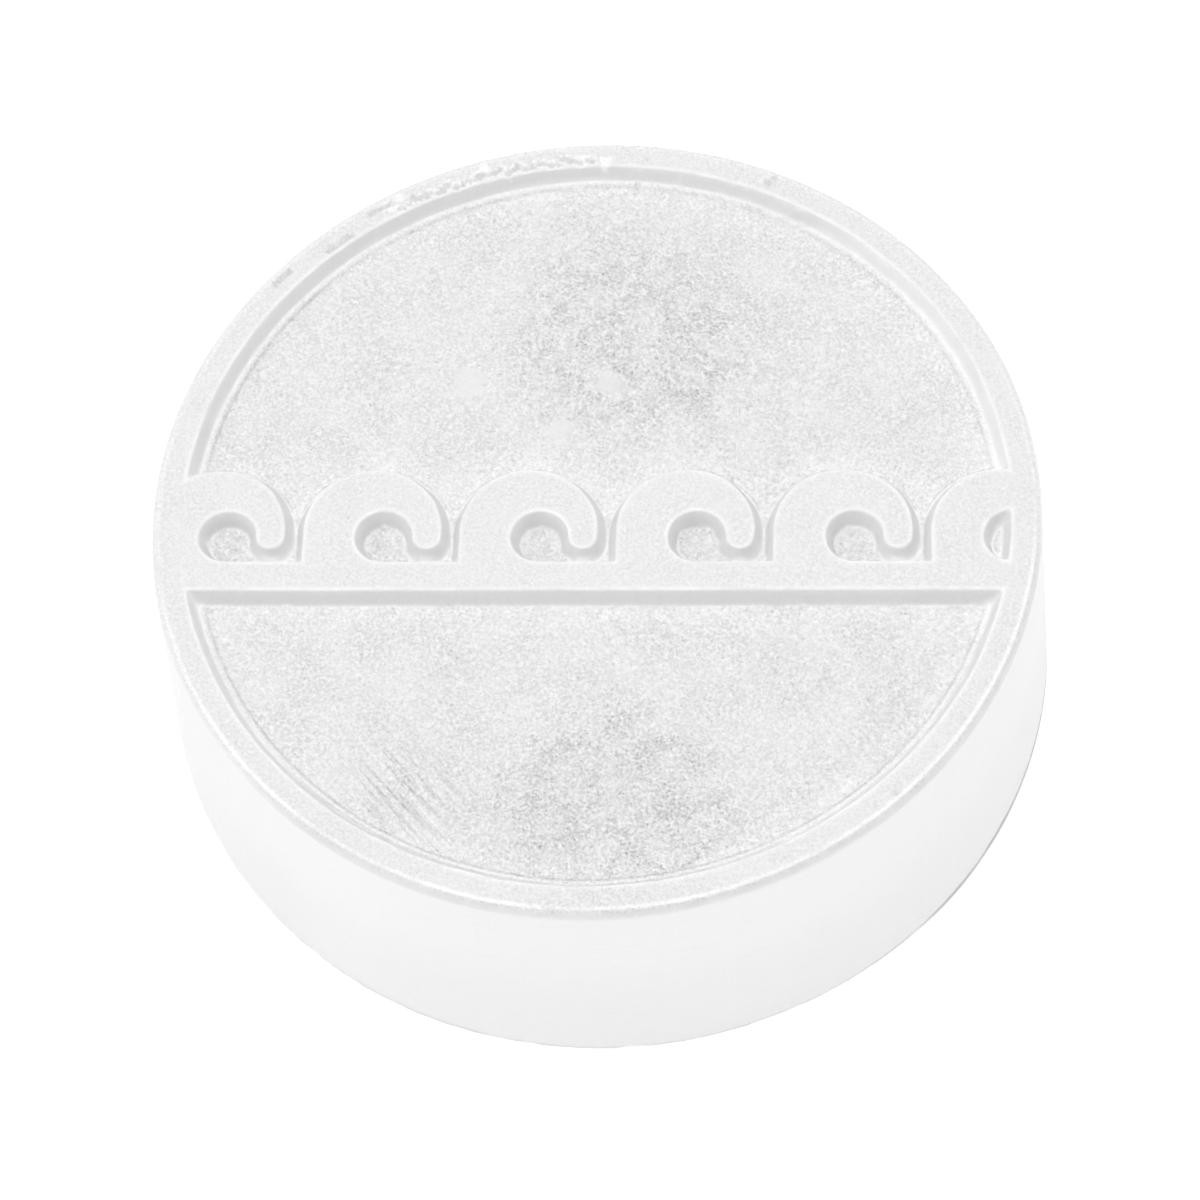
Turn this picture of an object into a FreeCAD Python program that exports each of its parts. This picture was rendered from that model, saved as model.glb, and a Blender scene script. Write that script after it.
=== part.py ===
import FreeCAD, Part
import math
import os

from FreeCAD import Vector

# A cast puck of hard shaving soap: a thick disc that widens slightly towards its base, with a raised rim
# round a sunken face, and a band of curling waves that stands on the face as high as the rim.
# Millimetres. The origin is the centre of the flat underside, +Z points up out of the face, and the band of
# waves runs along X with its bar on the -Y side.

# Driving dimensions of the casting.
HEIGHT = 22.8
TOP_RADIUS = 35.0
BASE_RADIUS = 36.2
RIM_INNER_RADIUS = 32.6
FACE_DEPTH = 1.45
DRAFT = math.radians(25.0)

# A narrow ledge runs round the foot of the rim, one small step above the sunken face.
LEDGE_WIDTH = 0.55
LEDGE_STEP = 0.2

# Edge rounds.
RIM_OUTER_ROUND = 0.6
RIM_INNER_ROUND = 0.2
BASE_ROUND = 0.5

# The band of waves, measured at the height of the rim. The row is wider than the face, so the rim cuts off
# the first and last waves.
WAVE_COUNT = 6
WAVE_PITCH = 12.3
ROW_SHIFT = 1.0
WAVE_RADIUS = 5.4
BAND_BOTTOM = -7.2
BAR_WIDTH = 2.5
CURL_RADIUS = 2.3
CURL_SHIFT = 0.9

# Worked out from the dimensions above.
LEDGE_DEPTH = FACE_DEPTH - LEDGE_STEP
LEDGE_RADIUS = RIM_INNER_RADIUS - LEDGE_DEPTH * math.tan(DRAFT)
FACE_TOP_RADIUS = LEDGE_RADIUS - LEDGE_WIDTH
FACE_RADIUS = FACE_TOP_RADIUS - LEDGE_STEP * math.tan(DRAFT)
FACE_Z = HEIGHT - FACE_DEPTH
LEDGE_Z = HEIGHT - LEDGE_DEPTH
WALL_RUN = FACE_DEPTH * math.tan(DRAFT)
WAVE_Y = BAND_BOTTOM + WAVE_RADIUS
BAR_TOP = BAND_BOTTOM + BAR_WIDTH
CURL_Y = BAR_TOP + CURL_RADIUS
CREST_HALF = math.sqrt(WAVE_RADIUS**2 - (WAVE_Y - CURL_Y) ** 2)
TONGUE_RADIUS = (CREST_HALF - CURL_SHIFT - CURL_RADIUS) / 2
FIRST_WAVE_X = ROW_SHIFT - WAVE_PITCH * (WAVE_COUNT - 1) / 2


def recess():
    """The sunken space inside the rim: the wide part above the ledge and the shallow step below it."""
    upper = Part.makeCone(LEDGE_RADIUS, RIM_INNER_RADIUS, LEDGE_DEPTH, Vector(0, 0, LEDGE_Z))
    lower = Part.makeCone(FACE_RADIUS, FACE_TOP_RADIUS, LEDGE_STEP, Vector(0, 0, FACE_Z))
    return upper.fuse(lower).removeSplitter()


def ring_edges(shape, radius, z):
    """The circular edges of the shape with this radius at this height."""
    return [
        edge
        for edge in shape.Edges
        if isinstance(edge.Curve, Part.Circle)
        and abs(edge.Curve.Radius - radius) < 1e-6
        and abs(edge.Curve.Center.z - z) < 1e-6
    ]


def puck_body():
    """The soap itself, with the sunken face and rounded edges."""
    blank = Part.makeCone(BASE_RADIUS, TOP_RADIUS, HEIGHT)
    body = blank.cut(recess())
    body = body.makeFillet(RIM_OUTER_ROUND, ring_edges(body, TOP_RADIUS, HEIGHT))
    body = body.makeFillet(RIM_INNER_ROUND, ring_edges(body, RIM_INNER_RADIUS, HEIGHT))
    return body.makeFillet(BASE_ROUND, ring_edges(body, BASE_RADIUS, 0))


def disc(x, y, radius, spread):
    """A drafted disc from the face to the rim's height; spread is how much wider it is at its foot."""
    return Part.makeCone(radius + spread, radius, FACE_DEPTH, Vector(x, y, FACE_Z))


def rectangle(x_from, x_to, y_from, y_to, z):
    """A closed rectangular wire at this height."""
    plan = [(x_from, y_from), (x_to, y_from), (x_to, y_to), (x_from, y_to), (x_from, y_from)]
    return Part.makePolygon([Vector(x, y, z) for x, y in plan])


def block(x_from, x_to, y_from, y_to, left=0, bottom=0, top=0):
    """A block from the face to the rim's height; each named side stands out by that much more at its foot."""
    foot = rectangle(x_from - left, x_to, y_from - bottom, y_to + top, FACE_Z)
    head = rectangle(x_from, x_to, y_from, y_to, HEIGHT)
    return Part.makeLoft([foot, head], True, True)


def wave(x):
    """One wave that curls to the right: a full back, a round curl open to the right and a rounded tongue."""
    curl_x = x + CURL_SHIFT
    tongue_x = curl_x + CURL_RADIUS + TONGUE_RADIUS
    crest = disc(x, WAVE_Y, WAVE_RADIUS, WALL_RUN)
    mouth = block(curl_x, x + WAVE_PITCH, BAR_TOP, CURL_Y, bottom=-WALL_RUN)
    back = block(x - WAVE_RADIUS, x, BAND_BOTTOM, WAVE_Y, left=WALL_RUN, bottom=WALL_RUN)
    curl = disc(curl_x, CURL_Y, CURL_RADIUS, -WALL_RUN)
    tongue = disc(tongue_x, CURL_Y, TONGUE_RADIUS, WALL_RUN)
    return crest.cut(mouth).fuse(back).cut(curl).fuse(tongue)


def wave_relief():
    """The row of waves on its bar, trimmed to the space inside the rim, so it meets the puck face to face."""
    bar = block(-TOP_RADIUS, TOP_RADIUS, BAND_BOTTOM, BAR_TOP, bottom=WALL_RUN, top=WALL_RUN)
    waves = [wave(FIRST_WAVE_X + WAVE_PITCH * i) for i in range(WAVE_COUNT)]
    relief = bar.multiFuse(waves).removeSplitter()
    return relief.common(recess()).Solids[0]


def main():
    os.makedirs("parts", exist_ok=True)
    for name, solid in (("puck_body", puck_body()), ("wave_relief", wave_relief())):
        print(name, solid.isValid(), round(solid.Volume / 1000, 3), "cm3")
        solid.exportStep(f"parts/{name}.step")


main()
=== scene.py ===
import math
import random

import bpy
import numpy as np
from mathutils import Matrix, Vector
from mathutils.geometry import delaunay_2d_cdt


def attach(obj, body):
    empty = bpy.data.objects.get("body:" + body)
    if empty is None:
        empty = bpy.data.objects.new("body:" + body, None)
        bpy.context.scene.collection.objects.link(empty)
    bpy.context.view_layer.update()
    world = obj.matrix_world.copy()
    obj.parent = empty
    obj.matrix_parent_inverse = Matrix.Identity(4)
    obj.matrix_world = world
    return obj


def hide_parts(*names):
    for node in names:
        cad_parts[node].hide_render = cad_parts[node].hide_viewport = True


# A cast puck of hard white soap: a drafted disc with a raised rim, a sunken face and a raised band of
# curling waves. Lengths are millimetres until a mesh is made.
MM = 0.001

# The casting, as in the CAD.
HEIGHT = 22.8
TOP_RADIUS = 35.0
BASE_RADIUS = 36.2
RIM_INNER_RADIUS = 32.6
FACE_DEPTH = 1.45
DRAFT = math.radians(25.0)
LEDGE_WIDTH = 0.55
LEDGE_STEP = 0.2
RIM_OUTER_ROUND = 0.6
BASE_ROUND = 0.5
WAVE_COUNT = 6
WAVE_PITCH = 12.3
ROW_SHIFT = 1.0
WAVE_RADIUS = 5.4
BAND_BOTTOM = -7.2
BAR_WIDTH = 2.5
CURL_RADIUS = 2.3
CURL_SHIFT = 0.9

FACE_Z = HEIGHT - FACE_DEPTH
LEDGE_Z = FACE_Z + LEDGE_STEP
LEDGE_INNER_RADIUS = RIM_INNER_RADIUS - (FACE_DEPTH - LEDGE_STEP) * math.tan(DRAFT) - LEDGE_WIDTH
WAVE_Y = BAND_BOTTOM + WAVE_RADIUS
BAR_TOP = BAND_BOTTOM + BAR_WIDTH
CURL_Y = BAR_TOP + CURL_RADIUS
CURL_TOP = CURL_Y + CURL_RADIUS
CREST_TOP = WAVE_Y + WAVE_RADIUS
CREST_HALF = math.sqrt(WAVE_RADIUS**2 - (WAVE_Y - CURL_Y) ** 2)
TONGUE_RADIUS = (CREST_HALF - CURL_SHIFT - CURL_RADIUS) / 2
FIRST_WAVE_X = ROW_SHIFT - WAVE_PITCH * (WAVE_COUNT - 1) / 2

# Where the flat land on top of the rim ends.
LAND_RADIUS = TOP_RADIUS - RIM_OUTER_ROUND

# Fillet at the foot of every wall on the face.
FOOT_FILLET = 0.12

# The mesh of the top. Its edges follow lines at these distances from the raised parts, negative on them.
LINE_LEVELS = (-0.4, -0.2, -0.09, 0.0, 0.08, 0.3, 0.52, 0.62, 0.73, 0.84, 0.97)
LINE_SPACING = 0.24
GRID_STEP = 0.1
LAND_RINGS = (33.2, 33.45, 33.65, 33.85, 34.04, 34.22, LAND_RADIUS)
LEDGE_RINGS = (LEDGE_INNER_RADIUS + 0.09, LEDGE_INNER_RADIUS - 0.05, LEDGE_INNER_RADIUS - 0.2)
LEDGE_RING_POINTS = 640

# The mesh of the outside: points round each ring, and where the rings lie on the straight part of the side,
# from 0 at its top to 1 at its foot.
RING = 900
SIDE_STEPS = (
    *(0.008, 0.018, 0.03, 0.045, 0.06, 0.08, 0.11, 0.15),
    *(0.2 + 0.06 * k for k in range(14)),
    *(0.9816, 0.988, 0.9935, 1.0),
)
UNDERSIDE_RINGS = (35.0, 33.5, 30.0, 24.0, 16.0, 8.0)

# Stretches of the puck's edge, in degrees anticlockwise from +X: start, end, and how far they fade out.
NEAR_SIDE = (-150, -25, 18)
# NEAR_OUTER_EDGE and BEADED steer painted highlights.
NEAR_OUTER_EDGE = (-150, -20, 25)
BEADED = (90, 122, 2)
RUBBED_FRONT = (-96, -60, 6)
FLASH_LIP = (-122, -110, 9)
CRUMBLY_LEDGE = (62, 88, 6)
# The walls and the upper side below get painted light; the round, the base, the step and the gaps get painted
# shade.
RIGHT_WALL = (6, 48, 14)
NEAR_RIGHT_WALL = (-62, -4, 10)
LEFT_WALL = (-170, -130, 10)
LIT_UPPER_SIDE = (-135, 5, 20)
SHADED_ROUND = (-130, -12, 14)
SHADOWED_BASE_RIGHT = (-40, -4, 16)
FAR_LEFT_STEP = (95, 165, 10)
NEAR_LEFT_GAP = (-128, -70, 14)
NEAR_RIGHT_GAP = (-56, -20, 14)


# ---- Distances in plan -------------------------------------------------------------------------------------

def box_distance(x, y, x0, x1, y0, y1):
    """Signed distance to a rectangle, negative inside."""
    qx = np.maximum(x0 - x, x - x1)
    qy = np.maximum(y0 - y, y - y1)
    outside = np.hypot(np.maximum(qx, 0), np.maximum(qy, 0))
    return outside + np.minimum(np.maximum(qx, qy), 0)


def wave_distance(x, y):
    """Signed distance to one wave whose crest is centred on x = 0."""
    crest = np.hypot(x, y - WAVE_Y) - WAVE_RADIUS
    curl = CURL_RADIUS - np.hypot(x - CURL_SHIFT, y - CURL_Y)
    mouth = np.minimum(x - CURL_SHIFT, CURL_Y - y)
    back = box_distance(x, y, -WAVE_RADIUS, 0, BAND_BOTTOM, WAVE_Y)
    tongue = np.hypot(x - CURL_SHIFT - CURL_RADIUS - TONGUE_RADIUS, y - CURL_Y) - TONGUE_RADIUS
    crest = np.maximum(np.maximum(crest, curl), mouth)
    return np.minimum(np.minimum(crest, np.maximum(back, curl)), tongue)


def band_distance(x, y):
    """Signed distance to the whole band of waves, which runs on under the rim."""
    result = np.maximum(BAND_BOTTOM - y, y - BAR_TOP)
    for i in range(WAVE_COUNT):
        result = np.minimum(result, wave_distance(x - FIRST_WAVE_X - WAVE_PITCH * i, y))
    return result


def raised_distance(x, y):
    """Signed distance to everything that stands at the rim's height: positive over the sunken face."""
    return np.minimum(band_distance(x, y), RIM_INNER_RADIUS - np.hypot(x, y))


# ---- Height of the casting's top ---------------------------------------------------------------------------

def blend_max(a, b, k):
    """The larger of a and b, with a fillet where they are within k of each other."""
    h = np.maximum(k - np.abs(a - b), 0) / k
    return np.maximum(a, b) + h * h * k / 4


def blend_min(a, b, k):
    """The smaller of a and b, with a round where they are within k of each other."""
    return -blend_max(-a, -b, k)


def top_height(x, y, wear):
    """Height of the top surface; wear is how far the upper edges are rounded off."""
    r = np.hypot(x, y)
    step = np.clip((r - LEDGE_INNER_RADIUS + 0.2) / 0.3, 0, 1)
    floor = FACE_Z + LEDGE_STEP * step * step * (3 - 2 * step)
    wall = HEIGHT - raised_distance(x, y) / math.tan(DRAFT)
    wall = blend_min(wall, HEIGHT, wear)
    return blend_max(wall, floor, FOOT_FILLET)


# ---- Points of the top mesh --------------------------------------------------------------------------------

def level_segments(field, xs, ys, level):
    """The grid edges that cross a level, linked cell by cell, and a function that places a crossing."""
    above = field > level
    code = above[:-1, :-1] + 2 * above[1:, :-1] + 4 * above[1:, 1:] + 8 * above[:-1, 1:]
    pairs = {
        1: ("LB",), 2: ("BR",), 3: ("LR",), 4: ("RT",), 5: ("LT", "BR"), 6: ("BT",), 7: ("LT",),
        8: ("LT",), 9: ("BT",), 10: ("LB", "RT"), 11: ("RT",), 12: ("LR",), 13: ("BR",), 14: ("LB",),
    }

    def edge(i, j, side):
        if side == "B":
            return (i, j, 0)
        if side == "T":
            return (i, j + 1, 0)
        if side == "L":
            return (i, j, 1)
        return (i + 1, j, 1)

    links = {}
    for i, j in np.argwhere((code > 0) & (code < 15)):
        for pair in pairs[int(code[i, j])]:
            a, b = edge(int(i), int(j), pair[0]), edge(int(i), int(j), pair[1])
            links.setdefault(a, []).append(b)
            links.setdefault(b, []).append(a)

    def point(key):
        i, j, along_y = key
        i2, j2 = (i, j + 1) if along_y else (i + 1, j)
        t = (level - field[i, j]) / (field[i2, j2] - field[i, j])
        return (xs[i] + t * (xs[i2] - xs[i]), ys[j] + t * (ys[j2] - ys[j]))

    return links, point


def chain(links):
    """Walks linked grid edges into runs; a closed run ends with its own first key."""
    left = {key: list(others) for key, others in links.items()}
    starts = [k for k, v in left.items() if len(v) == 1] + list(left)
    runs = []
    for start in starts:
        while left[start]:
            run = [start]
            here = start
            while left[here]:
                there = left[here].pop()
                left[there].remove(here)
                run.append(there)
                here = there
            runs.append(run)
    return runs


def resample(points, spacing):
    """Even points along a run."""
    p = np.array(points)
    s = np.concatenate([[0], np.cumsum(np.hypot(*np.diff(p, axis=0).T))])
    if s[-1] < 2 * spacing:
        return None
    n = max(int(round(s[-1] / spacing)), 3)
    t = np.linspace(0, s[-1], n + 1)
    return np.stack([np.interp(t, s, p[:, 0]), np.interp(t, s, p[:, 1])], axis=1)


def level_lines(field, xs, ys, level, spacing):
    """Lines along one level, as evenly spaced points, and whether each line is closed."""
    links, point = level_segments(field, xs, ys, level)
    lines = []
    for run in chain(links):
        line = resample([point(key) for key in run], spacing)
        if line is not None:
            lines.append((line, run[0] == run[-1]))
    return lines


def hexagons(x0, x1, y0, y1, spacing):
    """A triangular grid of points."""
    rows = np.arange(y0, y1, spacing * math.sqrt(3) / 2)
    x, y = np.meshgrid(np.arange(x0, x1, spacing), rows)
    x = x + (np.arange(len(rows)) % 2)[:, None] * spacing / 2
    return np.stack([x.ravel(), y.ravel()], axis=1)


def ring_points(radius, count=RING):
    """Even points round a circle."""
    a = np.arange(count) * 2 * math.pi / count
    return np.stack([radius * np.cos(a), radius * np.sin(a)], axis=1)


def fill_points():
    """Points between the level lines: fine in the curls, medium on the band, coarse on the open face."""
    def keep(points, test):
        d = raised_distance(points[:, 0], points[:, 1])
        r = np.hypot(points[:, 0], points[:, 1])
        return points[test(d, r)]

    low, high = BAND_BOTTOM - 1.5, CREST_TOP + 1.5
    reach = LEDGE_INNER_RADIUS - 0.45
    curls = keep(hexagons(-33, 33, BAR_TOP - 0.5, CURL_TOP, 0.17), lambda d, r: d > 1.2)
    tops = keep(hexagons(-33, 33, low, high, 0.32), lambda d, r: (d < -0.6) & (r < 32.4))
    field = keep(hexagons(-33, 33, -33, 33, 0.45), lambda d, r: (d > 1.3) & (r < reach))
    inside = (field[:, 1] > BAR_TOP - 0.5) & (field[:, 1] < CURL_TOP + 0.1)
    return np.concatenate([curls, tops, field[~inside]])


def top_mesh():
    """Triangles of the top, out to the edge of the rim's land, with edges along every level line."""
    xs = np.arange(-34, 34 + GRID_STEP, GRID_STEP)
    grid_x, grid_y = np.meshgrid(xs, xs, indexing="ij")
    field = raised_distance(grid_x, grid_y)
    points = []
    edges = []

    def add(line, closed):
        first = len(points)
        body = line[:-1] if closed else line
        points.extend(map(tuple, body))
        n = len(body)
        edges.extend((first + k, first + k + 1) for k in range(n - 1))
        if closed:
            edges.append((first + n - 1, first))

    for level in LINE_LEVELS:
        for line, closed in level_lines(field, xs, xs, level, LINE_SPACING):
            add(line, closed)
    for radius in LAND_RINGS:
        ring = ring_points(radius)
        add(np.concatenate([ring, ring[:1]]), True)
    outer_first = len(points) - RING
    for radius in LEDGE_RINGS:
        ring = ring_points(radius, LEDGE_RING_POINTS)
        clear = band_distance(ring[:, 0], ring[:, 1]) > 1.1
        points.extend(map(tuple, ring[clear]))
    points.extend(map(tuple, fill_points()))
    made = delaunay_2d_cdt([Vector(p) for p in points], edges, [], 0, 1e-5)
    coords, _, faces, origins = made[:4]
    found = {}
    for k, sources in enumerate(origins):
        for source in sources:
            found[source] = k
    outer = [found[outer_first + k] for k in range(RING)]
    return np.array([(c[0], c[1]) for c in coords]), faces, outer


# ---- Casting marks and wear --------------------------------------------------------------------------------

def rough(points, size, seed):
    """Smooth random values from -1 to 1 that change over about this many millimetres."""
    table = np.random.default_rng(seed).uniform(-1, 1, (32, 32, 32))
    q = np.asarray(points) / size + 1000.0
    cell = np.floor(q).astype(int)
    f = q - cell
    f = f * f * (3 - 2 * f)
    total = 0
    for corner in range(8):
        step = np.array([corner & 1, corner >> 1 & 1, corner >> 2 & 1])
        i, j, k = ((cell + step) % 32).T
        share = np.prod(np.where(step, f, 1 - f), axis=1)
        total = total + share * table[i, j, k]
    return total


def window(value, low, high, soft):
    """1 between low and high, falling smoothly to 0 over the distance soft outside them."""
    t = np.clip(1 - np.maximum(low - value, value - high) / soft, 0, 1)
    return t * t * (3 - 2 * t)


def degrees_round(x, y):
    return np.degrees(np.arctan2(y, x))


def dents(x, y, places):
    """Depth of round dents, each (x, y, radius, depth)."""
    depth = np.zeros_like(x)
    for px, py, radius, deep in places:
        near = 1 - ((x - px) ** 2 + (y - py) ** 2) / radius**2
        depth = np.maximum(depth, deep * np.clip(near, 0, 1) ** 1.5)
    return depth


# On the rim, in degrees and mm: where the beads and the near dents run, short scores as start, end and
# radius from the centre, and nicks as angle, radius from the centre, size and depth.
BEADS_FROM, BEADS_TO = 92.0, 121.0
DENTS_FROM, DENTS_TO = -54.0, -20.0
RIM_SCORES = [(121.5, 124.6, 33.95), (128.6, 132.5, 33.2), (138.5, 141.5, 34.0)]
RIM_NICKS = [(66.6, 33.7, 0.45, 0.3), (66.2, 34.2, 0.4, 0.25), (-46.5, 34.2, 0.5, 0.22)]


def rim_dents():
    """Beads on the far left of the rim, dents on its near right, scores, nicks, and stray dents all round."""
    rng = random.Random(7)
    places = []

    def put(angle, radius, size, deep):
        a = math.radians(angle)
        places.append((radius * math.cos(a), radius * math.sin(a), size, deep))

    angle = BEADS_FROM
    while angle < BEADS_TO:
        put(angle, 33.3 + rng.uniform(-0.35, 0.3), rng.uniform(0.42, 0.56), rng.uniform(0.16, 0.3))
        angle += rng.uniform(0.7, 1.1)
    angle = DENTS_FROM
    while angle < DENTS_TO:
        put(angle, 33.9 + rng.uniform(-0.25, 0.2), rng.uniform(0.25, 0.45), rng.uniform(0.06, 0.16))
        angle += rng.uniform(1.2, 2.8)
    for start, end, radius in RIM_SCORES:
        for k in range(9):
            put(start + (end - start) * k / 8, radius, 0.36, 0.3)
    for nick in RIM_NICKS:
        put(*nick)
    for _ in range(150):
        put(rng.uniform(0, 360), rng.uniform(32.8, 34.35), rng.uniform(0.25, 0.6), rng.uniform(0.02, 0.1))
    return places


def crumbly(x, y):
    """How crumbly the casting is: on the ledge at the far right, in the curls and along the bar's foot."""
    r = np.hypot(x, y)
    ledge = window(degrees_round(x, y), *CRUMBLY_LEDGE) * window(r, 31.1, 32.4, 0.3)
    curls = window(y, BAR_TOP + 0.2, CURL_TOP, 0.3) * window(raised_distance(x, y), 0.75, 9, 0.25)
    foot = window(band_distance(x, y), 0.45, 0.9, 0.25) * window(y, -9, BAND_BOTTOM, 0.3)
    return np.maximum(np.maximum(ledge, curls), 0.5 * foot * (r < LEDGE_INNER_RADIUS))


def cast_top(x, y):
    """Height of the real top: the drawn surface with an uneven outline, swell, dents and crumbs."""
    flat = np.stack([x, y, np.zeros_like(x)], axis=1)
    sway_x = 0.06 * rough(flat, 3.1, 1) + 0.035 * rough(flat, 0.9, 2)
    sway_y = 0.06 * rough(flat, 2.9, 3) + 0.035 * rough(flat, 0.8, 4)
    z = top_height(x + sway_x, y + sway_y, 0.15 + 0.07 * rough(flat, 4.0, 5))
    r = np.hypot(x, y)
    swell = 0.05 * rough(flat, 11.0, 6) * window(r, 0, 30, 3)
    z += swell + 0.018 * rough(flat, 3.4, 7) + 0.012 * rough(flat, 1.3, 8)
    z -= dents(x, y, rim_dents())
    lumps = np.clip(rough(flat, 0.42, 9) + 0.5 * rough(flat, 0.25, 10) - 0.1, 0, 1)
    z += 0.32 * lumps * crumbly(x, y)
    return z


def cast_side(verts):
    """The outside, slightly wavy, with a rubbed upper edge at the front, base chips and a flash lip."""
    x, y, z = verts.T
    angle = degrees_round(x, y)
    r = np.hypot(x, y)
    out = np.stack([x / np.maximum(r, 1e-6), y / np.maximum(r, 1e-6)], axis=1)
    around = np.stack([angle * 0.6, z * 0.12, np.zeros_like(z)], axis=1)
    move = 0.02 * rough(around, 0.5, 11) + 0.05 * rough(verts, 14.0, 12)
    rub_and_painted_light = window(angle, *RUBBED_FRONT) * window(z, HEIGHT - 0.75, HEIGHT - 0.02, 0.25)
    move -= 0.1 * rub_and_painted_light * (0.7 + rough(verts, 0.6, 13))
    chips = np.clip(rough(verts * [1, 1, 0.3], 2.6, 14) - 0.45, 0, 1) * window(z, -1, 0.3, 0.5)
    move -= 0.3 * chips
    lip = window(angle, *FLASH_LIP) * window(z, 0.25, 0.6, 0.25)
    move += 0.1 * lip * (0.8 + 0.6 * rough(verts, 1.1, 15))
    move *= np.clip((r - LAND_RADIUS) / 0.35, 0, 1)
    shaped = verts.copy()
    shaped[:, :2] += out * move[:, None]
    return shaped


# ---- The whole puck ----------------------------------------------------------------------------------------

def arc(r, z, radius, start, end, steps):
    """Points along a round in the puck's section, leaving out the first."""
    angles = [start + (end - start) * k / steps for k in range(1, steps + 1)]
    return [(r + radius * math.cos(a), z + radius * math.sin(a)) for a in angles]


def side_profile():
    """Radius and height down the outside, from the edge of the rim's land to the middle of the base."""
    lean = math.atan((BASE_RADIUS - TOP_RADIUS) / HEIGHT)
    profile = arc(LAND_RADIUS, HEIGHT - RIM_OUTER_ROUND, RIM_OUTER_ROUND, math.pi / 2, lean, 7)
    top_r, top_z = profile[-1]
    base_r = BASE_RADIUS - BASE_ROUND * math.tan(lean) * 2
    for t in SIDE_STEPS:
        profile.append((top_r + (base_r - top_r) * t, top_z + (BASE_ROUND - top_z) * t))
    profile += arc(base_r - BASE_ROUND, BASE_ROUND, BASE_ROUND, 0, -math.pi / 2, 6)
    profile += [(r, 0.0) for r in UNDERSIDE_RINGS]
    return profile


def puck_mesh():
    """The whole closed surface: the top, then rings down the outside and in to the middle of the base."""
    plan, faces, outer = top_mesh()
    x, y = plan[:, 0], plan[:, 1]
    fade = window(np.hypot(x, y), 0, LAND_RADIUS - 0.5, 0.45)
    z = cast_top(x, y) * fade + HEIGHT * (1 - fade)
    verts = [np.stack([x, y, z], axis=1)]
    faces = [tuple(f) for f in faces]
    a = np.arange(RING) * 2 * math.pi / RING
    above = outer
    count = len(plan)
    for r, height in side_profile():
        ring_verts = np.stack([r * np.cos(a), r * np.sin(a), np.full(RING, height)], axis=1)
        verts.append(cast_side(ring_verts))
        ring = list(range(count, count + RING))
        for k in range(RING):
            n = (k + 1) % RING
            faces.append((above[k], ring[k], ring[n], above[n]))
        above = ring
        count += RING
    verts.append(np.array([[0.0, 0.0, 0.0]]))
    faces.extend((above[k], count, above[(k + 1) % RING]) for k in range(RING))
    return np.concatenate(verts), faces


# Grain of the outside, the smoothest part.
OUTSIDE_GRAIN = 0.07


class Places:
    """Where each vertex lies, for the marks that depend on it."""

    def __init__(self, verts):
        self.verts = verts
        self.x, self.y, self.z = verts.T
        self.r = np.hypot(self.x, self.y)
        self.angle = degrees_round(self.x, self.y)
        self.raised = raised_distance(self.x, self.y)
        self.band = band_distance(self.x, self.y)
        self.from_rim = RIM_INNER_RADIUS - self.r
        self.on_top = (self.z > LEDGE_Z - 1) & (self.r < TOP_RADIUS - 0.2)
        self.on_side = self.r > LAND_RADIUS + 0.3
        self.near = window(self.angle, *NEAR_SIDE)
        # Depth of the beads and dents in the rim, and how broken each thin line is.
        self.beads = dents(self.x, self.y, rim_dents()) * self.on_top
        self.patchy = np.clip(0.75 + 0.5 * rough(verts, 5.0, 21) + 0.4 * rough(verts, 0.8, 22), 0, 1)


def grainy(at):
    """How granular: fully on the face, less on the ledge and raised parts, least on walls and outside."""
    grain = np.interp(at.raised, [-0.5, -0.1, 0.05, 0.6, 0.95], [0.55, 0.3, 0.12, 0.12, 1.0])
    ledge = np.interp(at.from_rim, [0, 0.6, 0.75, 1.0, 1.4], [1.0, 1.0, 0.6, 0.6, 1.0])
    return np.where(at.on_top, np.minimum(grain, ledge), OUTSIDE_GRAIN)


def painted_highlight(at):
    """Painted highlights: along the top and foot of every wall, on the rim's inner walls at the right and
    left, round the beads and on the upper side.
    """
    # Painted highlights along the top edges and feet of the walls and along the rim's outer edge.
    inner_edge = 0.7 * window(at.raised, -0.16, 0.02, 0.08) * at.on_top
    foot = 0.5 * window(at.raised, 0.66, 0.72, 0.07) * at.on_top * (1 - at.near * (at.from_rim < 2))
    outer_edge = window(at.r, LAND_RADIUS - 0.05, LAND_RADIUS + 0.14, 0.14) * (at.z > HEIGHT - 0.3)
    outer_edge *= 0.35 + 0.65 * window(at.angle, *NEAR_OUTER_EDGE)
    edges = np.maximum.reduce([inner_edge, foot, outer_edge]) * at.patchy
    # Painted highlights round the beads.
    bead_highlights = 0.9 * window(at.beads, 0.03, 0.09, 0.025) * window(at.angle, *BEADED)
    # Painted light on the rim's inner walls at the right, near right and left.
    rub_and_painted_light = np.maximum(window(at.angle, *RIGHT_WALL), 0.15 * window(at.angle, *NEAR_RIGHT_WALL))
    rub_and_painted_light = np.maximum(rub_and_painted_light, 0.35 * window(at.angle, *LEFT_WALL))
    rub_and_painted_light = 0.65 * rub_and_painted_light * window(at.from_rim, 0.05, 0.6, 0.06) * (at.band > 0.5) * at.on_top
    # Painted light on the upper part of the outside.
    upper_side = 0.16 * window(at.z, 16, 21, 9) * window(at.angle, *LIT_UPPER_SIDE) * at.on_side
    return np.maximum.reduce([edges, bead_highlights, rub_and_painted_light, upper_side])


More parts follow.
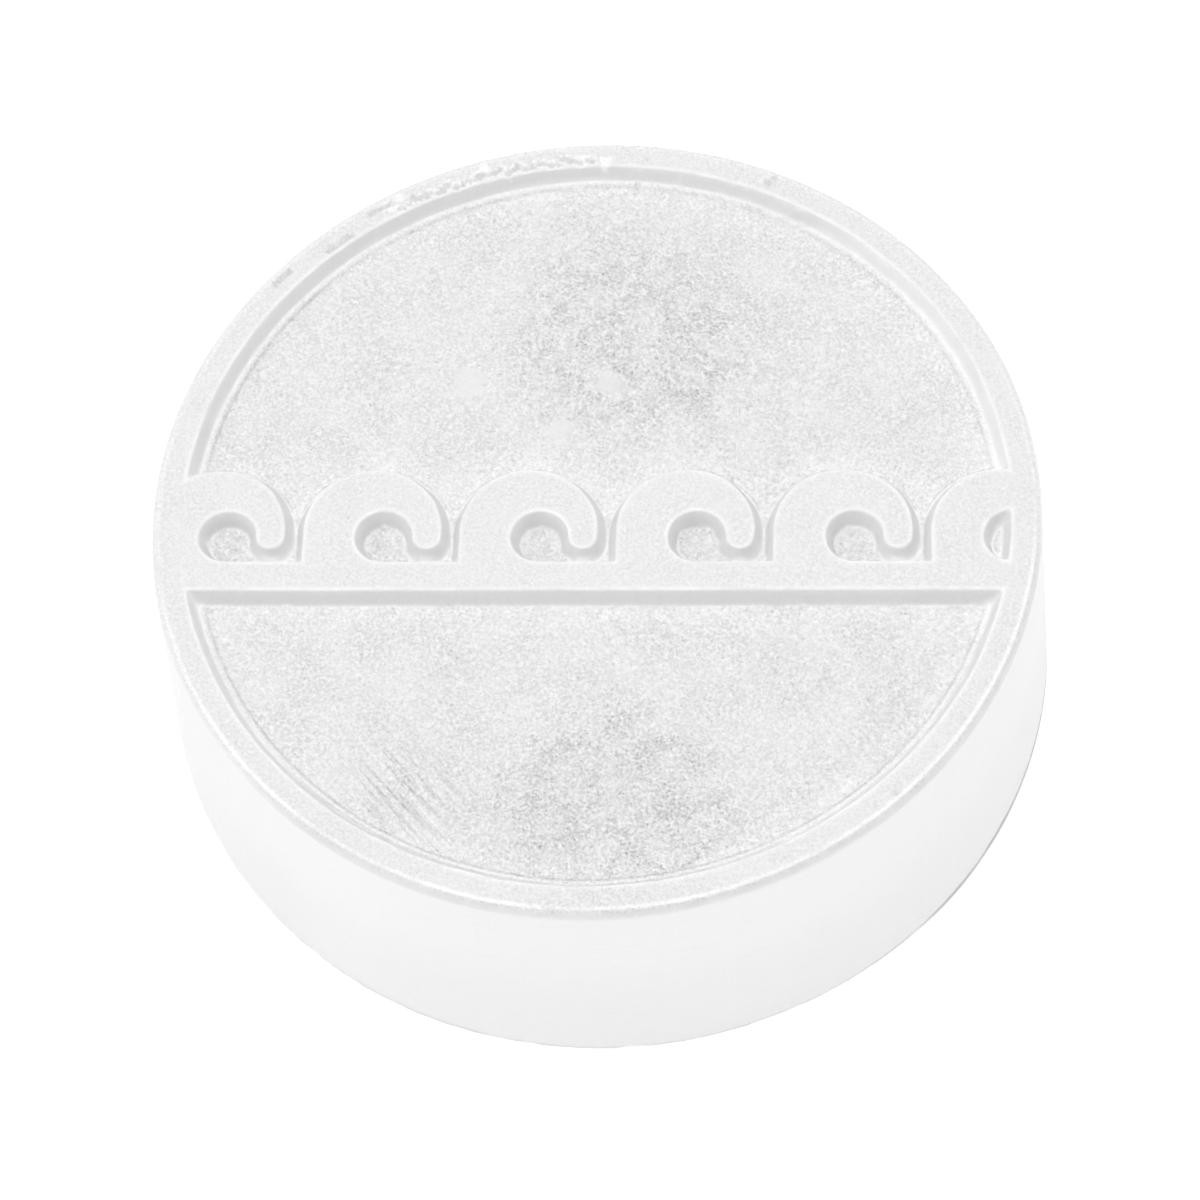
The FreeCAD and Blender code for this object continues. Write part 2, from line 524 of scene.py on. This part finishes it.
def painted_shade(at):
    """Painted shade: thin shadow lines at the ledge and waves, shade on the curl floors, the rim's round and
    the far left of the outside, and a contact shadow at the base edge.
    """
    # Painted shade on the round along the rim's outer edge, and a painted contact shadow on the turned-under
    # edge at the base.
    bevel = window(at.z, HEIGHT - 0.62, HEIGHT - 0.16, 0.28) * (at.r > LAND_RADIUS + 0.2)
    bevel = 0.55 * window(at.angle, *SHADED_ROUND) * bevel
    bevel = np.clip(bevel * (0.8 + 0.25 * rough(at.verts, 1.2, 23)), 0, 1)
    under = 0.8 * window(at.angle, *SHADOWED_BASE_RIGHT) * (0.75 + 0.5 * rough(at.verts, 4.0, 25))
    under = 0.5 + 0.5 * rough(at.verts, 2.5, 24) + under
    under = np.clip(under, 0, 3) * (at.z < 0.65) * (at.r > 35.4)
    # Painted shadow lines at the ledge's step, at the foot of the rim's near wall, and behind the waves.
    step = window(at.from_rim, 1.08, 1.24, 0.1) * (at.band > 0.9) * at.on_top
    step = step * (0.35 + 0.45 * at.near + 0.35 * window(at.angle, *FAR_LEFT_STEP))
    gap = 0.8 * window(at.angle, *NEAR_LEFT_GAP) + 0.45 * window(at.angle, *NEAR_RIGHT_GAP)
    gap = gap * window(at.raised, 0.6, 0.72, 0.08) * (at.from_rim < 2) * at.on_top
    behind = band_distance(at.x, at.y + 0.05) - band_distance(at.x, at.y - 0.05) > 0.04
    behind = 0.75 * window(at.band, 0.8, 0.9, 0.08) * behind * (at.from_rim > 0.8) * at.on_top
    lines = [step * at.patchy, np.maximum(gap, behind) * at.patchy]
    # Painted shade in the bottoms of the dents, on the floors of the curls, and on the far left of the
    # outside.
    hollows = np.clip((at.beads - 0.05) * 4, 0, 0.6)
    curl_floor = 0.35 * window(at.y, BAR_TOP + 0.2, CURL_TOP, 0.3) * window(at.raised, 0.6, 9, 0.2)
    left_side = 0.12 * window(at.x, -40, -27, 8) * at.on_side
    return np.maximum.reduce([bevel, under, *lines, hollows, left_side, curl_floor * at.on_top])


def surface_marks(verts):
    """Per vertex: how grainy the surface is, how much painted highlight it gets, and how much painted shade.
    """
    at = Places(verts)
    return np.stack([grainy(at), painted_highlight(at), painted_shade(at), np.ones(len(verts))], axis=1)


def make_puck():
    """The puck as one object. Its marks are a colour attribute: grain in red, painted highlight in green,
    painted shade in blue.
    """
    verts, faces = puck_mesh()
    mesh = bpy.data.meshes.new("soap_puck")
    mesh.from_pydata((verts * MM).tolist(), [], faces)
    mesh.shade_smooth()
    marks = mesh.color_attributes.new("marks", "FLOAT_COLOR", "POINT")
    marks.data.foreach_set("color", surface_marks(verts).astype(np.float32).ravel())
    puck = bpy.data.objects.new("soap_puck", mesh)
    bpy.context.scene.collection.objects.link(puck)
    return puck


# ---- Looks -------------------------------------------------------------------------------------------------

class Graph:
    """Short ways to make and join shader nodes. Numbers are set on sockets; sockets are linked."""

    def __init__(self, material):
        material.use_nodes = True
        self.tree = material.node_tree
        self.shader = self.tree.nodes["Principled BSDF"]

    def feed(self, socket, value):
        """Links an output to the socket, or sets the socket's own value."""
        if isinstance(value, bpy.types.NodeSocket):
            self.tree.links.new(value, socket)
        else:
            socket.default_value = value

    def add(self, kind, **settings):
        node = self.tree.nodes.new(kind)
        for key, value in settings.items():
            setattr(node, key, value)
        return node

    def math(self, operation, *values, clamp=False):
        node = self.add("ShaderNodeMath", operation=operation, use_clamp=clamp)
        for socket, value in zip(node.inputs, values):
            self.feed(socket, value)
        return node.outputs[0]

    def vector(self, operation, *values, out="Vector", **named):
        node = self.add("ShaderNodeVectorMath", operation=operation)
        for socket, value in zip(node.inputs, values):
            self.feed(socket, value)
        for key, value in named.items():
            self.feed(node.inputs[key], value)
        return node.outputs[out]

    def split(self, vector):
        node = self.add("ShaderNodeSeparateXYZ")
        self.feed(node.inputs[0], vector)
        return node.outputs[0], node.outputs[1], node.outputs[2]

    def mix(self, share, first, second):
        """The first value where share is 0, the second where it is 1."""
        return self.math("MULTIPLY_ADD", self.math("SUBTRACT", second, first), share, first)

    def ramp(self, value, low, high, start=0.0, end=1.0):
        """Goes smoothly from start to end as the value goes from low to high."""
        node = self.add("ShaderNodeMapRange", interpolation_type="SMOOTHSTEP")
        ends = {"From Min": low, "From Max": high, "To Min": start, "To Max": end}
        for key, number in {"Value": value, **ends}.items():
            self.feed(node.inputs[key], number)
        return node.outputs["Result"]

    def noise(self, position, size, detail=2.0, sharpness=0.55, turn=0.0, stretch=(1, 1, 1)):
        """Noise with features about this many millimetres across, stretched along a line turned from X."""
        mapping = self.add("ShaderNodeMapping", vector_type="TEXTURE")
        self.feed(mapping.inputs["Vector"], position)
        self.feed(mapping.inputs["Rotation"], (0, 0, turn))
        self.feed(mapping.inputs["Scale"], tuple(s * size for s in stretch))
        node = self.add("ShaderNodeTexNoise")
        self.feed(node.inputs["Vector"], mapping.outputs["Vector"])
        self.feed(node.inputs["Scale"], 1.0)
        self.feed(node.inputs["Detail"], detail)
        self.feed(node.inputs["Roughness"], sharpness)
        return node.outputs[0]

    def blob(self, plan, x, y, radius):
        """1 at a place on the face, 0 beyond the radius."""
        away = self.vector("DISTANCE", plan, (x, y, 0), out="Value")
        return self.ramp(away, 0.0, radius, 1.0, 0.0)

    def line(self, plan, start, end, width):
        """1 along a straight scratch on the face, fading to 0 a little past half its width."""
        run = Vector((end[0] - start[0], end[1] - start[1], 0))
        offset = self.vector("SUBTRACT", plan, (start[0], start[1], 0))
        along = self.vector("DOT_PRODUCT", offset, run / run.length_squared, out="Value")
        along = self.math("ADD", along, 0.0, clamp=True)
        nearest = self.vector("SCALE", tuple(run), Scale=along)
        away = self.vector("DISTANCE", offset, nearest, out="Value")
        return self.ramp(away, width * 0.2, width * 0.6, 1.0, 0.0)


# Single scratches on the sunken face: ends in mm, and width.
SCRATCHES = [
    ((11.0, 4.4), (11.05, 10.9), 0.14),
    ((-28.7, -13.9), (-26.9, -12.7), 0.16),
    ((-27.0, -12.8), (-25.0, -15.8), 0.16),
    ((-17.6, -19.6), (-11.6, -26.6), 0.2),
    ((-16.4, -20.9), (-9.9, -28.6), 0.16),
    ((-15.2, -22.9), (-13.0, -22.2), 0.22),
    ((-18.8, -20.6), (-15.4, -24.9), 0.16),
    ((-12.2, -22.4), (-8.9, -26.0), 0.14),
]

# Places on the sunken face: centre and radius in mm.
COARSE_ZONES = [(3, 17, 15), (2, -26, 15)]
SMOOTH_SPOTS = [(-10.5, 12.4, 3.0), (0.8, 12.4, 2.4), (-3.1, 8.2, 2.0)]
SCRAPED_ZONE = (-14.0, -24.0, 9.0)
SCRAPE_TURN = math.radians(-48.6)

# Linear brightness of the plain soap.
SOAP_TONE = 0.793


def blobs(g, plan, places):
    """The strongest of several round places."""
    strongest = 0.0
    for place in places:
        strongest = g.math("MAXIMUM", g.blob(plan, *place), strongest)
    return strongest


def grain_amount(g, plan, grain, coarse, spots):
    """How strong the grain is: clustered in the coarse zones, calm elsewhere, faint in the smooth spots."""
    clusters = g.ramp(g.noise(plan, 2.4, 4.0, 0.7), 0.36, 0.68, 0.8, 1.6)
    calm = g.ramp(g.noise(plan, 4.2, 2.0), 0.35, 0.65, 0.55, 0.85)
    patches = g.mix(coarse, calm, clusters)
    patches = g.math("MULTIPLY", patches, g.math("MULTIPLY_ADD", spots, -0.8, 1.0))
    return g.math("MULTIPLY", grain, patches)


def fine_grain(g, mm):
    """The grains themselves, with a scatter of light and dark specks."""
    fine = g.ramp(g.noise(mm, 0.25, 3.0, 0.65), 0.26, 0.74, -0.6, 0.6)
    specks = g.noise(mm, 0.3, 1.0)
    fine = g.math("ADD", fine, g.ramp(specks, 0.64, 0.72, 0.0, 0.45))
    return g.math("ADD", fine, g.ramp(specks, 0.3, 0.37, -0.45, 0.0))


def scratches(g, plan, grain):
    """Parallel scrapes in one zone of the face, and the single scratches."""
    scrapes = g.noise(plan, 1.0, 2.0, 0.6, turn=SCRAPE_TURN, stretch=(7.0, 0.3, 1))
    scrapes = g.math("MULTIPLY", g.ramp(scrapes, 0.52, 0.62), g.blob(plan, *SCRAPED_ZONE))
    cuts = 0.0
    for start, end, width in SCRATCHES:
        cuts = g.math("MAXIMUM", g.line(plan, start, end, width), cuts)
    return g.math("MULTIPLY", scrapes, grain), g.math("MULTIPLY", cuts, grain)


def side_streaks(g, mm, grain):
    """Faint drag marks that run round the outside."""
    x, y, z = g.split(mm)
    unrolled = g.add("ShaderNodeCombineXYZ")
    g.feed(unrolled.inputs[0], g.math("MULTIPLY", g.math("ARCTAN2", y, x), BASE_RADIUS))
    g.feed(unrolled.inputs[1], z)
    streaks = g.noise(unrolled.outputs[0], 1.0, 3.0, 0.6, turn=math.radians(6), stretch=(5.0, 0.4, 1))
    streaks = g.ramp(streaks, 0.56, 0.72)
    return g.math("MULTIPLY", streaks, g.ramp(grain, OUTSIDE_GRAIN, 0.1, 1.0, 0.0))


def soap_material():
    """Matt white soap: granular on the sunken face, smoother on raised parts, with painted highlights along
    its edges and painted shade in its lines, hollows and parts of the outside.
    """
    material = bpy.data.materials.new("soap")
    g = Graph(material)
    coords = g.add("ShaderNodeTexCoord")
    mm = g.vector("SCALE", coords.outputs["Object"], Scale=1 / MM)
    plan = g.vector("MULTIPLY", mm, (1, 1, 0))
    marks = g.add("ShaderNodeAttribute", attribute_name="marks")
    split = g.add("ShaderNodeSeparateColor")
    g.feed(split.inputs[0], marks.outputs["Color"])
    grain, highlight_mark, shade_mark = split.outputs[0], split.outputs[1], split.outputs[2]

    coarse = g.ramp(blobs(g, plan, COARSE_ZONES), 0.05, 0.6)
    ragged = g.math("MULTIPLY_ADD", g.noise(plan, 1.3, 3.0), 2.4, -1.2)
    spots = g.ramp(g.math("ADD", blobs(g, plan, SMOOTH_SPOTS), ragged), 0.3, 0.8)
    amount = grain_amount(g, plan, grain, coarse, spots)
    fine = fine_grain(g, mm)
    scrapes, cuts = scratches(g, plan, grain)

    # How far each mark lightens or darkens the soap.
    shades = [
        (g.math("MULTIPLY", fine, amount), 0.29),
        (grain, 0.012),
        (g.math("MULTIPLY", spots, g.math("ADD", coarse, 0.5)), -0.03),
        (side_streaks(g, mm, grain), -0.022),
        (scrapes, -0.13),
        (cuts, 0.1),
        # Painted shade, then painted highlights.
        (shade_mark, -0.22),
        (highlight_mark, 0.15),
    ]
    tone = SOAP_TONE
    for mark, strength in shades:
        tone = g.math("MULTIPLY_ADD", mark, strength, tone)
    tone = g.math("ADD", tone, 0.0, clamp=True)
    colour = g.add("ShaderNodeCombineColor")
    for socket in colour.inputs[:3]:
        g.feed(socket, tone)
    g.feed(g.shader.inputs["Base Color"], colour.outputs[0])

    # Relief of the same marks, in millimetres.
    height = g.math("MULTIPLY", fine, g.math("MULTIPLY", amount, 0.06))
    height = g.math("MULTIPLY_ADD", scrapes, -0.05, height)
    height = g.math("MULTIPLY_ADD", cuts, -0.04, height)
    bump = g.add("ShaderNodeBump")
    g.feed(bump.inputs["Height"], height)
    g.feed(bump.inputs["Distance"], MM)
    g.feed(bump.inputs["Strength"], 1.0)
    g.feed(g.shader.inputs["Normal"], bump.outputs["Normal"])

    g.feed(g.shader.inputs["Roughness"], 0.58)
    g.feed(g.shader.inputs["Specular IOR Level"], 0.35)
    return material


# The table: half its width in metres, and its glow near the puck and far from it.
TABLE_HALF = 6.0
GLOW_NEAR = 1.0
GLOW_FAR = 1.22

# The surround glows near the horizon and is nearly dark overhead.
SURROUND_LOW = 1.05
SURROUND_HIGH = 0.05

# Distance and size of the lamps in metres.
LAMP_DISTANCE = 0.8
LAMP_SIZE = 0.4

# The camera: degrees round from the front, above the table and of clockwise tilt, and lengths in mm.
CAMERA_AZIMUTH = 7.0
CAMERA_ELEVATION = 60.83
CAMERA_ROLL = 6.15
CAMERA_DISTANCE = 350.0
CAMERA_LENS = 129.0
CAMERA_AIM_RIGHT = -0.35
CAMERA_AIM_HEIGHT = 8.2


def facing(g, angle, middle, full, none):
    """1 within full degrees of this direction, falling to 0 at none degrees from it."""
    return g.ramp(g.math("ABSOLUTE", g.math("SUBTRACT", angle, middle)), full, none, 1.0, 0.0)


def contact_shadow(g, x, y, away):
    """A thin shadow under the puck's edge: deepest and widest at the right, lighter at the front."""
    angle = g.math("MULTIPLY", g.math("ARCTAN2", y, x), 180 / math.pi)
    right = facing(g, angle, -20.0, 16.0, 34.0)
    front = facing(g, angle, -90.0, 30.0, 60.0)
    past_edge = g.math("SUBTRACT", away, g.math("MULTIPLY_ADD", right, 0.14, BASE_RADIUS - 0.1))
    depth = g.math("MULTIPLY_ADD", right, 0.6, g.math("MULTIPLY_ADD", front, 0.2, 0.12))
    return g.math("MULTIPLY", depth, g.ramp(past_edge, -0.1, 0.05, 1.0, 0.0))


def white_stage():
    """A glowing white table, a little brighter away from the puck."""
    mesh = bpy.data.meshes.new("table")
    s = TABLE_HALF
    mesh.from_pydata([(-s, -s, 0), (s, -s, 0), (s, s, 0), (-s, s, 0)], [], [(0, 1, 2, 3)])
    table = bpy.data.objects.new("table", mesh)
    bpy.context.scene.collection.objects.link(table)
    material = bpy.data.materials.new("table_white")
    g = Graph(material)
    mm = g.vector("SCALE", g.add("ShaderNodeTexCoord").outputs["Object"], Scale=1 / MM)
    x, y, _ = g.split(mm)
    away = g.vector("LENGTH", mm, out="Value")
    glow = g.ramp(away, 40.0, 130.0, GLOW_NEAR, GLOW_FAR)
    g.feed(g.shader.inputs["Base Color"], (0.5, 0.5, 0.5, 1))
    g.feed(g.shader.inputs["Roughness"], 1.0)
    g.feed(g.shader.inputs["Emission Color"], (1, 1, 1, 1))
    g.feed(g.shader.inputs["Emission Strength"], g.math("SUBTRACT", glow, contact_shadow(g, x, y, away)))
    mesh.materials.append(material)


def white_surround():
    """White light from near the horizon, fading upwards."""
    world = bpy.data.worlds.new("surround")
    bpy.context.scene.world = world
    world.use_nodes = True
    nodes, links = world.node_tree.nodes, world.node_tree.links
    background = nodes["Background"]
    background.inputs["Color"].default_value = (1, 1, 1, 1)
    coords = nodes.new("ShaderNodeTexCoord")
    split = nodes.new("ShaderNodeSeparateXYZ")
    spread = nodes.new("ShaderNodeMapRange")
    spread.interpolation_type = "SMOOTHSTEP"
    ends = {"From Min": 0.1, "From Max": 0.4, "To Min": SURROUND_LOW, "To Max": SURROUND_HIGH}
    for key, number in ends.items():
        spread.inputs[key].default_value = number
    links.new(coords.outputs["Generated"], split.inputs[0])
    links.new(split.outputs["Z"], spread.inputs["Value"])
    links.new(spread.outputs["Result"], background.inputs["Strength"])


def direction(azimuth, elevation):
    """Unit vector towards a place seen from the puck. Azimuth 0 is at the front, 90 at the right."""
    a, e = math.radians(azimuth), math.radians(elevation)
    return Vector((math.sin(a) * math.cos(e), -math.cos(a) * math.cos(e), math.sin(e)))


def lamp(name, azimuth, elevation, power):
    """A square soft light aimed at the puck."""
    data = bpy.data.lights.new(name, "AREA")
    data.shape = "SQUARE"
    data.size = LAMP_SIZE
    data.energy = power
    light = bpy.data.objects.new(name, data)
    back = direction(azimuth, elevation)
    light.location = back * LAMP_DISTANCE
    light.rotation_mode = "QUATERNION"
    light.rotation_quaternion = (-back).to_track_quat("-Z", "Y")
    bpy.context.scene.collection.objects.link(light)


def make_camera():
    """Looks down on the face, with the frame tipped clockwise."""
    data = bpy.data.cameras.new("camera")
    data.sensor_width = 36.0
    data.lens = CAMERA_LENS
    data.clip_start, data.clip_end = 0.01, 50
    camera = bpy.data.objects.new("camera", data)
    azimuth, roll = math.radians(CAMERA_AZIMUTH), math.radians(CAMERA_ROLL)
    back = direction(CAMERA_AZIMUTH, CAMERA_ELEVATION)
    right = Vector((math.cos(azimuth), math.sin(azimuth), 0))
    up = back.cross(right)
    aim = right * CAMERA_AIM_RIGHT + Vector((0, 0, CAMERA_AIM_HEIGHT))
    place = aim + back * CAMERA_DISTANCE
    turned_right = right * math.cos(roll) - up * math.sin(roll)
    turned_up = right * math.sin(roll) + up * math.cos(roll)
    matrix = Matrix((turned_right, turned_up, back)).transposed().to_4x4()
    matrix.translation = place * MM
    camera.matrix_world = matrix
    bpy.context.scene.collection.objects.link(camera)
    bpy.context.scene.camera = camera


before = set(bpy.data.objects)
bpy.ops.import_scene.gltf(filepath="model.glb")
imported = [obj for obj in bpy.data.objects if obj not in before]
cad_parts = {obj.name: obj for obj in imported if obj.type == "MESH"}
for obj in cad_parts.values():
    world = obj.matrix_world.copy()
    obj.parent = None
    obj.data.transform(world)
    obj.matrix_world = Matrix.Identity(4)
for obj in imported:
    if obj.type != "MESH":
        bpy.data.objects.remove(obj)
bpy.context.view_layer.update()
bpy.context.scene.view_settings.view_transform = "Standard"
puck = make_puck()
puck.data.materials.append(soap_material())
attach(puck, "root")
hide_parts("puck_body", "wave_relief")
white_stage()
white_surround()
lamp("overhead", 0, 85, 4.5)
lamp("left", 262, 38, 1.3)
lamp("back", 150, 50, 1.15)
lamp("front", 30, 50, 0.3)
make_camera()
